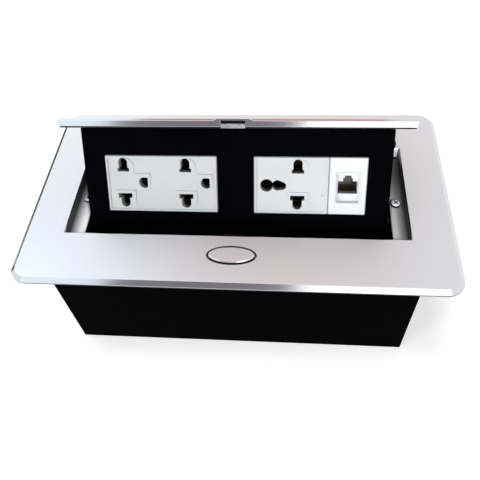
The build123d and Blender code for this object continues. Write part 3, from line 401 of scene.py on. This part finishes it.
def besideSideScrew(tree, place):
    # distance from the side screws' line, and 1 where the point is farther out than the mouth of the cross
    side = addNode(tree, "ShaderNodeSeparateXYZ", links={0: place.outputs["Object"]}).outputs["X"]
    outward = addNode(tree, "ShaderNodeMath", {"operation": "ABSOLUTE"}, {0: side}).outputs[0]
    line = (0.0, screwHeads["yMm"] / 1000, screwHeads["zMm"] / 1000)
    shifted = addNode(tree, "ShaderNodeVectorMath", {"operation": "SUBTRACT", 1: line},
                      {0: place.outputs["Object"]}).outputs[0]
    flat = addNode(tree, "ShaderNodeVectorMath", {"operation": "MULTIPLY", 1: (0.0, 1.0, 1.0)},
                   {0: shifted}).outputs[0]
    radius = addNode(tree, "ShaderNodeVectorMath", {"operation": "LENGTH"}, {0: flat}).outputs["Value"]
    mouth = (screwHeads["wallMm"] - screwHeads["mouthMm"]) / 1000
    below = addNode(tree, "ShaderNodeMath", {"operation": "GREATER_THAN", 1: mouth}, {0: outward}).outputs[0]
    return radius, below


def besideLedgeScrew(tree, place):
    # distance from the ledge screws' line, and 1 where the point is lower than the mouth of the cross
    spot = addNode(tree, "ShaderNodeSeparateXYZ", links={0: place.outputs["Object"]})
    across = addNode(tree, "ShaderNodeMath", {"operation": "ABSOLUTE"}, {0: spot.outputs["X"]}).outputs[0]
    flat = addNode(tree, "ShaderNodeCombineXYZ",
                   links={"X": across, "Y": spot.outputs["Y"]}).outputs["Vector"]
    middle = (ledges["screwXMm"] / 1000, ledges["screwYMm"] / 1000, 0.0)
    radius = addNode(tree, "ShaderNodeVectorMath", {"operation": "DISTANCE", 1: middle},
                     {0: flat}).outputs["Value"]
    mouth = (ledges["topMm"] + ledges["mouthMm"]) / 1000
    below = addNode(tree, "ShaderNodeMath", {"operation": "LESS_THAN", 1: mouth},
                    {0: spot.outputs["Z"]}).outputs[0]
    return radius, below


def flakedSteel(name, beside):
    # painted shade where the point is near the screw's line and below the mouth of the cross, or beyond the
    # ring
    material, tree, shader, place = newMaterial(name)
    flakes = grain(tree, place, screwHeads["flakeMm"], detail=4.0)
    radius, below = beside(tree, place)
    inside = addNode(tree, "ShaderNodeMath", {"operation": "LESS_THAN", 1: screwHeads["crossMm"] / 1000},
                     {0: radius}).outputs[0]
    cross = addNode(tree, "ShaderNodeMath", {"operation": "MULTIPLY"}, {0: below, 1: inside}).outputs[0]
    ring = addNode(tree, "ShaderNodeMath", {"operation": "GREATER_THAN", 1: screwHeads["ringMm"] / 1000},
                   {0: radius}).outputs[0]
    screwShadeMask = addNode(tree, "ShaderNodeMath", {"operation": "MAXIMUM"}, {0: cross, 1: ring}).outputs[0]
    unshaded = tintBetween(tree, flakes, screwHeads["dark"], screwHeads["light"])
    # painted shade in the cross and round the head
    colour = addNode(tree, "ShaderNodeMix", {"data_type": "RGBA", 7: linearColour(screwHeads["screwShade"])},
                     {0: screwShadeMask, 6: unshaded}).outputs[2]
    tree.links.new(colour, shader.inputs["Base Color"])
    tree.links.new(spread(tree, flakes, noiseRange, screwHeads["roughness"]), shader.inputs["Roughness"])
    shader.inputs["Metallic"].default_value = screwHeads["metallic"]
    return material


def sprayedAluminium(name):
    # grey spray where the point is well inside the opening, going a little unevenly to painted shade at the
    # wall
    material, tree, shader, place = newMaterial(name)
    grit = grain(tree, place, ledges["gritMm"], detail=3.0)
    side = addNode(tree, "ShaderNodeSeparateXYZ", links={0: place.outputs["Object"]}).outputs["X"]
    across = addNode(tree, "ShaderNodeMath", {"operation": "ABSOLUTE"}, {0: side}).outputs[0]
    uneven = addNode(tree, "ShaderNodeMath", {"operation": "MULTIPLY_ADD", 1: ledges["sprayShift"]},
                     {0: grit, 2: across}).outputs[0]
    sprayShare = spread(tree, uneven, (ledges["sprayMm"] / 1000, ledges["wallShadeMm"] / 1000), (1.0, 0.0))
    # painted shade towards the wall, grey spray further in
    colours = {6: linearColour(ledges["wallShade"]), 7: linearColour(ledges["spray"]), "data_type": "RGBA"}
    tint = addNode(tree, "ShaderNodeMix", colours, {0: sprayShare}).outputs[2]
    gloss = spread(tree, grit, noiseRange, ledges["roughness"])
    feedShader(tree, shader, tint, gloss, grit, ledges["gritHeight"])
    return material


finishes = {material.name: material for material in (
    # blasted faces with mirror-cut edges, and dark painted shade on what stands upright or looks down
    blastedAluminium("blastedBezelAluminium", (0.0, 0.0, 1.0), shadeUpright, withRim=True),
    blastedAluminium("blastedButtonAluminium", (0.0, 0.0, 1.0), shadeUpright),
    blastedAluminium("blastedLidAluminium", lidUp, shadeLid),
    # cast aluminium under a thin coat of grey spray: dull and pale, with painted shade towards the wall
    sprayedAluminium("sprayedAluminium"),
    # stoving enamel, sprayed and baked: deep black with a soft gloss
    paintedSteel("stovedBlackEnamel", "#010102", "#020203", 1.6, 0.00002, 0.003),
    # powder coat, melted on: black and flatter, with a fine peel
    paintedSteel("blackPowderCoat", "#020204", "#050507", 1.1, 0.00003, 0.012),
    # moulded polycarbonate of wiring plates: cool white, a little greyer in the double plate
    # the third colour of each plate is its painted depth shade
    wiringPolycarbonate("mouldedGreyPolycarbonate", "#D3D8DA", "#DADEE0", "#66645F", -0.2, 4.0),
    wiringPolycarbonate("mouldedWhitePolycarbonate", "#DADEE2", "#E0E4E7", "#5C5955", -0.2, 4.0),
    wiringPolycarbonate("mouldedBrightPolycarbonate", "#F0F3F6", "#F5F8FA", "#5C5955", -0.2, 4.0),
    wiringPolycarbonate("mouldedJackPolycarbonate", "#EEF1F3", "#F2F4F6", "#757067", 0.3, 6.8),
    # moulded polyamide, plain, natural and glass-filled: dull black, waxy cream, and a dry dark grey
    mouldedPlastic("mouldedPolyamide", "#0B0B0C", "#121213", (0.46, 0.54), 0.7, 0.00001),
    mouldedPlastic("mouldedNylon", "#DAD6C8", "#E4E1D6", (0.38, 0.46), 0.6, 0.00001, 1.53),
    mouldedPlastic("mouldedGlassPolyamide", "#1B1B1D", "#262628", (0.51, 0.59), 0.8, 0.00002, 1.53),
    # moulded chloroprene rubber: matt black
    mouldedPlastic("mouldedRubber", "#0D0D0D", "#171717", (0.68, 0.76), 0.9, 0.00003, 1.52),
    # zinc plate, barrelled and blue-passivated: bright grey with faint cool patches
    workedMetal("zincPlatedSteel", "#B4B8BE", "#D2D5DA", (0.23, 0.38), 2.4, 1.0, 0.000006),
    # zinc flakes in a clear binder, dipped and baked: silver, duller than plate, with painted shade in the
    # cross and round the head
    flakedSteel("zincFlakeSideScrewSteel", besideSideScrew),
    flakedSteel("zincFlakeLedgeScrewSteel", besideLedgeScrew),
    # spring wire and strip, drawn or rolled hard: plain grey with a close sheen
    workedMetal("drawnSpringSteel", "#B8B8BC", "#D4D4D8", (0.27, 0.42), 1.6, 1.0, 0.000006),
    # steel blackened in hot salts and oiled: nearly black, with a low sheen
    workedMetal("blackenedSteel", "#151517", "#222226", (0.35, 0.5), 1.8, 1.0, 0.000006),
    # centreless-ground bar: bright, with faint rings round it
    workedMetal("groundSteel", "#B9BABD", "#CECFD2", (0.13, 0.28), 3.0, 0.2, 0.000003),
    # rolled brass strip: brown-gold with soft streaks, its tint darkened as painted shade for the slots it
    # sits deep in
    workedMetal("rolledBrass", "#5E4C2A", "#7A6338", (0.27, 0.42), 2.0, 3.0, 0.000004),
    # bronze wire with a thin plate of gold: clean warm yellow
    workedMetal("giltBronzeWire", "#D6B25C", "#E6C97C", (0.15, 0.3), 1.0, 1.0, 0.000002),
)}
print("materials made:", len(finishes))

# piece: material, width in mm that its sharp edges are rounded by; 0 leaves the CAD node showing, apart from
# the latch spring, which is shown as a merged copy with a mesh of its own
dressing = {
    "bezel": ("blastedBezelAluminium", 0.22), "release_button": ("blastedButtonAluminium", 0.15),
    "lid": ("blastedLidAluminium", 0.2),
    "housing_tub": ("stovedBlackEnamel", 0.3), "tub_rear": ("stovedBlackEnamel", 0.2),
    "tub_end_left": ("stovedBlackEnamel", 0.2), "tub_end_right": ("stovedBlackEnamel", 0.2),
    "socket_panel": ("blackPowderCoat", 0.3), "cheek_left": ("blackPowderCoat", 0.25),
    "cheek_right": ("blackPowderCoat", 0.25), "rear_cover": ("blackPowderCoat", 0.2),
    "duplex_face": ("mouldedGreyPolycarbonate", 0), "universal_face": ("mouldedWhitePolycarbonate", 0),
    "data_face": ("mouldedBrightPolycarbonate", 0), "data_jack": ("mouldedJackPolycarbonate", 0),
    "duplex_base": ("mouldedPolyamide", 0.2), "universal_base": ("mouldedPolyamide", 0.2),
    "mains_grommet": ("mouldedRubber", 0.2), "data_grommet": ("mouldedRubber", 0.2),
    "damper_body": ("mouldedGlassPolyamide", 0.2), "damper_pinion": ("mouldedNylon", 0.1),
    "gear_sector": ("mouldedNylon", 0.1), "cheek_bushes": ("mouldedNylon", 0.15),
    "side_screws": ("zincFlakeSideScrewSteel", 0.14), "latch_bracket": ("zincPlatedSteel", 0.15),
    "latch_slider": ("blackenedSteel", 0.12), "striker_leaf": ("drawnSpringSteel", 0.08),
    "earth_nut": ("zincPlatedSteel", 0.15), "hinge_shaft": ("groundSteel", 0.2),
    "earth_stud": ("zincPlatedSteel", 0), "bracket_screws": ("zincPlatedSteel", 0),
    "lid_screws": ("zincPlatedSteel", 0), "cheek_screws": ("blackenedSteel", 0),
    "cover_screws": ("zincPlatedSteel", 0), "damper_screws": ("zincPlatedSteel", 0),
    "terminal_screws": ("zincPlatedSteel", 0), "wall_spacers": ("zincPlatedSteel", 0),
    "sector_rivets": ("zincPlatedSteel", 0), "striker_rivets": ("zincPlatedSteel", 0),
    "latch_spring": ("drawnSpringSteel", 0), "torsion_spring_left": ("drawnSpringSteel", 0),
    "torsion_spring_right": ("drawnSpringSteel", 0), "shaft_clips": ("drawnSpringSteel", 0),
    "duplex_line_contact": ("rolledBrass", 0), "duplex_earth_contact": ("rolledBrass", 0),
    "duplex_neutral_contact": ("rolledBrass", 0), "universal_line_contact": ("rolledBrass", 0),
    "universal_earth_contact": ("rolledBrass", 0), "universal_neutral_contact": ("rolledBrass", 0),
    "jack_contacts": ("giltBronzeWire", 0),
}
bodyOf = {node: body for body, nodes in frame["record"]["behaviour"]["bodies"].items() for node in nodes}

# how edges are made: points this close are one, faces that turn by less than flatDegrees are one, shading
# breaks at sharpDegrees, and an edge is rounded from roundDegrees on
edges = {
    "mergeMm": 0.001, "flatDegrees": 0.2, "sharpDegrees": 30, "roundDegrees": 32, "segments": 2,
    "normalWeight": 100,
}


def pointsOf(mesh):
    # the mesh's points as rows of x, y and z
    points = np.empty(len(mesh.vertices) * 3)
    mesh.vertices.foreach_get("co", points)
    return points.reshape(-1, 3)


def swellHeads(mesh):
    # every point inside the walls moves away from the wall and from the screw's line, in proportion
    points = pointsOf(mesh)
    wall, line = screwHeads["wallMm"] / 1000, np.array([screwHeads["yMm"], screwHeads["zMm"]]) / 1000
    onWall = 1e-5  # metres within which a point counts as on the wall
    head = np.abs(points[:, 0]) < wall - onWall
    side = np.sign(points[:, 0])
    rise = wall - np.abs(points[:, 0])
    points[head, 0] = (side * (wall - rise * screwHeads["taller"]))[head]
    points[head, 1:] = (line + (points[:, 1:] - line) * screwHeads["wider"])[head]
    mesh.vertices.foreach_set("co", points.ravel())


def newPiece(name, mesh, finish):
    # an object of the mesh, shaded smoothly up to its sharp edges
    mesh.shade_smooth()
    mesh.set_sharp_from_angle(angle=math.radians(edges["sharpDegrees"]))
    mesh.materials.append(finishes[finish])
    piece = bpy.data.objects.new(name, mesh)
    bpy.context.collection.objects.link(piece)
    return piece


def softened(node, finish, widthMm):
    # the CAD shape with its doubled points merged, then every sharp edge rounded, because pressed, cast and
    # moulded edges are never sharp
    shell = bmesh.new()
    shell.from_mesh(frame["nodes"][node].data)
    bmesh.ops.remove_doubles(shell, verts=shell.verts, dist=edges["mergeMm"] / 1000)
    bmesh.ops.dissolve_limit(shell, angle_limit=math.radians(edges["flatDegrees"]), verts=shell.verts,
                             edges=shell.edges)
    mesh = bpy.data.meshes.new(node + "_finished")
    shell.to_mesh(mesh)
    shell.free()
    if node == "side_screws":
        swellHeads(mesh)
    keptNormals = mesh.attributes.get("custom_normal")
    if keptNormals is not None:
        mesh.attributes.remove(keptNormals)
    piece = newPiece(node + "_finished", mesh, finish)
    if widthMm:
        rounding = piece.modifiers.new("rounding", "BEVEL")
        rounding.width = widthMm / 1000
        rounding.segments = edges["segments"]
        rounding.limit_method = "ANGLE"
        rounding.angle_limit = math.radians(edges["roundDegrees"])
        rounding.use_clamp_overlap = False
        piece.modifiers.new("evenShade", "WEIGHTED_NORMAL").weight = edges["normalWeight"]
    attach(piece, bodyOf[node])
    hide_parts(node)
    return piece


# the latch spring's finished copy gets a mesh of its own
for node, (finish, widthMm) in dressing.items():
    if node == "latch_spring":
        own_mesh(softened(node, finish, widthMm))
    elif widthMm:
        softened(node, finish, widthMm)
    else:
        for faceSlot in frame["nodes"][node].material_slots:
            faceSlot.material = finishes[finish]
print("pieces dressed:", len(dressing))


def ledgeProfile():
    # inward distance and height: a quarter circle out of the wall, a level shelf, a quarter circle over the
    # edge, and the underside back to the wall
    turn = np.linspace(0, np.pi / 2, ledges["cornerPoints"])
    width, top = ledges["wallMm"] - ledges["innerMm"], ledges["topMm"]
    fillet, bend, low = ledges["filletMm"], ledges["bendMm"], top - ledges["sheetMm"]
    hollow = np.stack([fillet * (1 - np.cos(turn)), top + fillet * (1 - np.sin(turn))], axis=1)
    lip = np.stack([width - bend * (1 - np.sin(turn)), top - bend * (1 - np.cos(turn))], axis=1)
    under = np.array([(width, low), (0.0, low)])
    return np.vstack([hollow, lip, under])


def addPiece(name, points, faces, finish):
    # a shell on the housing, with its doubled points merged and its faces turned outwards
    mesh = bpy.data.meshes.new(name)
    mesh.from_pydata(points.tolist(), [], faces)
    shell = bmesh.new()
    shell.from_mesh(mesh)
    bmesh.ops.remove_doubles(shell, verts=shell.verts, dist=edges["mergeMm"] / 1000)
    bmesh.ops.recalc_face_normals(shell, faces=shell.faces)
    shell.to_mesh(mesh)
    shell.free()
    piece = newPiece(name, mesh, finish)
    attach(piece, "housing")


def sideLedges():
    # the profile carried straight from front to rear, once at each end of the opening
    profile = ledgeProfile()
    count = len(profile)
    faces = [(i, (i + 1) % count, count + (i + 1) % count, count + i) for i in range(count)]
    faces += [tuple(range(count)), tuple(range(count, 2 * count))]
    for name, side in (("ledge_left", -1), ("ledge_right", 1)):
        across = side * (ledges["wallMm"] - profile[:, 0])
        ends = [np.stack([across, np.full(count, along), profile[:, 1]], axis=1)
                for along in (ledges["frontMm"], ledges["rearMm"])]
        addPiece(name, np.vstack(ends) / 1000, faces, "sprayedAluminium")


def ledgeScrews():
    # the side screws' own shape, turned to point down: outward becomes down, and it stands on the ledge
    source = frame["nodes"]["side_screws"].data
    points = pointsOf(source) * 1000
    side = np.sign(points[:, 0])
    wide = ledges["headWider"]
    turned = np.stack([side * ledges["screwXMm"] + side * wide * (points[:, 1] - screwHeads["yMm"]),
                       ledges["screwYMm"] - wide * (points[:, 2] - screwHeads["zMm"]),
                       ledges["topMm"] - (np.abs(points[:, 0]) - screwHeads["wallMm"])], axis=1)
    faces = [tuple(face.vertices) for face in source.polygons]
    addPiece("ledge_screws", turned / 1000, faces, "zincFlakeLedgeScrewSteel")


sideLedges()
ledgeScrews()
print("ledges and their screws made")


def seenDirectly(tree):
    # 1 for a ray from the camera, off a shiny surface or through a clear one, 0 for light that falls
    path = addNode(tree, "ShaderNodeLightPath").outputs
    seen = addNode(tree, "ShaderNodeMath", {"operation": "MAXIMUM"},
                   {0: path["Is Camera Ray"], 1: path["Is Glossy Ray"]}).outputs[0]
    return addNode(tree, "ShaderNodeMath", {"operation": "MAXIMUM"},
                   {0: seen, 1: path["Is Transmission Ray"]}).outputs[0]


def floorMaterial():
    # matt paper sweep: it takes shadows, and seen directly it glows a little towards the white of the room
    material, tree, shader = newMaterial("paperSweep")[:3]
    shader.inputs["Base Color"].default_value = linearColour(studio["floorColour"])
    shader.inputs["Roughness"].default_value = studio["floorRoughness"]
    shader.inputs["Specular IOR Level"].default_value = studio["floorSpecular"]
    light = {"Color": linearColour(studio["roomColour"]), "Strength": studio["floorGlow"]}
    glow = addNode(tree, "ShaderNodeEmission", light).outputs["Emission"]
    both = addNode(tree, "ShaderNodeAddShader", links={0: shader.outputs["BSDF"], 1: glow}).outputs[0]
    mixed = addNode(tree, "ShaderNodeMixShader",
                    links={0: seenDirectly(tree), 1: shader.outputs["BSDF"], 2: both}).outputs[0]
    out = next(node for node in tree.nodes if node.type == "OUTPUT_MATERIAL")
    tree.links.new(mixed, out.inputs["Surface"])
    return material


def flatSheet(name, halfWidth, halfHeight, level, material):
    # a rectangle about the origin, level metres up
    corners = [(x * halfWidth, y * halfHeight, level) for x, y in ((-1, -1), (1, -1), (1, 1), (-1, 1))]
    mesh = bpy.data.meshes.new(name)
    mesh.from_pydata(corners, [], [(0, 1, 2, 3)])
    mesh.materials.append(material)
    sheet = bpy.data.objects.new(name, mesh)
    bpy.context.collection.objects.link(sheet)
    return sheet


def layFloor():
    half = studio["floorHalf"]
    flatSheet("floor", half, half, studio["floorHeight"], floorMaterial())


def lightRoom():
    # an even white room, and less of it on the object than what the camera and the metal see
    world = bpy.data.worlds.new("room")
    bpy.context.scene.world = world
    world.use_nodes = True
    tree = world.node_tree
    tree.nodes.clear()
    strength = spread(tree, seenDirectly(tree), (0.0, 1.0), (studio["roomOnObject"], 1.0))
    room = addNode(tree, "ShaderNodeBackground", {"Color": linearColour(studio["roomColour"])},
                   {"Strength": strength})
    addNode(tree, "ShaderNodeOutputWorld", links={"Surface": room.outputs["Background"]})


def lightAlone(holder, pieces):
    # the lamp lights the named pieces and nothing else
    lit = bpy.data.collections.new(holder.name + "Reach")
    for piece in pieces:
        lit.objects.link(bpy.data.objects[piece])
    holder.light_linking.receiver_collection = lit


# what the lamp for each end of the opening lights
endPieces = {"leftEnd": ("bezel_finished", "ledge_left", "ledge_screws"),
             "rightEnd": ("bezel_finished", "ledge_right", "ledge_screws")}


def addLight(name, light, place):
    # the light at its place, with its beam towards the object
    holder = bpy.data.objects.new(name, light)
    bpy.context.collection.objects.link(holder)
    holder.location = place
    holder.rotation_euler = Vector(place).to_track_quat("Z", "Y").to_euler()
    return holder


def addLamp(name, power, place, width, height, use):
    lamp = bpy.data.lights.new(name, "AREA")
    lamp.shape = "RECTANGLE"
    lamp.size, lamp.size_y, lamp.energy = width, height, power
    if name == "skyLamp":
        lamp.color = linearColour(studio["skyColour"])[:3]
    holder = addLight(name, lamp, place)
    holder.visible_diffuse = use != "shine"
    holder.visible_glossy = use == "shine"
    if use in endPieces:
        lightAlone(holder, endPieces[use])


def addFloorSun(strength, place, softness):
    sun = bpy.data.lights.new("floorSun", "SUN")
    sun.energy, sun.angle = strength, softness
    holder = addLight("floorSun", sun, place)
    holder.visible_glossy = False
    lightAlone(holder, ("floor",))


def addCard(name, colour, strength, place, width, height):
    # a flat card that faces the object and shows only in its shine
    material = bpy.data.materials.new(name)
    material.use_nodes = True
    tree = material.node_tree
    tree.nodes.clear()
    glow = addNode(tree, "ShaderNodeEmission", {"Color": linearColour(colour), "Strength": strength})
    addNode(tree, "ShaderNodeOutputMaterial", links={"Surface": glow.outputs["Emission"]})
    card = flatSheet(name, width / 2, height / 2, 0.0, material)
    card.location = place
    card.rotation_euler = (-Vector(place)).to_track_quat("Z", "Y").to_euler()
    card.visible_camera = card.visible_diffuse = card.visible_shadow = card.visible_transmission = False


def addCamera():
    lens = bpy.data.cameras.new("camera")
    lens.lens, lens.sensor_width = studio["focalLengthMm"], studio["sensorWidthMm"]
    lens.clip_start = studio["nearestSeen"]
    camera = bpy.data.objects.new("camera", lens)
    bpy.context.collection.objects.link(camera)
    camera.location, camera.rotation_euler = studio["cameraPlace"], studio["cameraTurn"]
    bpy.context.scene.camera = camera


layFloor()
lightRoom()
for name, lamp in studio["lamps"].items():
    addLamp(name, *lamp)
addFloorSun(*studio["floorSun"])
for name, card in studio["cards"].items():
    addCard(name, *card)
addCamera()
bpy.context.scene.view_settings.view_transform = "Standard"
print("room, lamps and camera set")
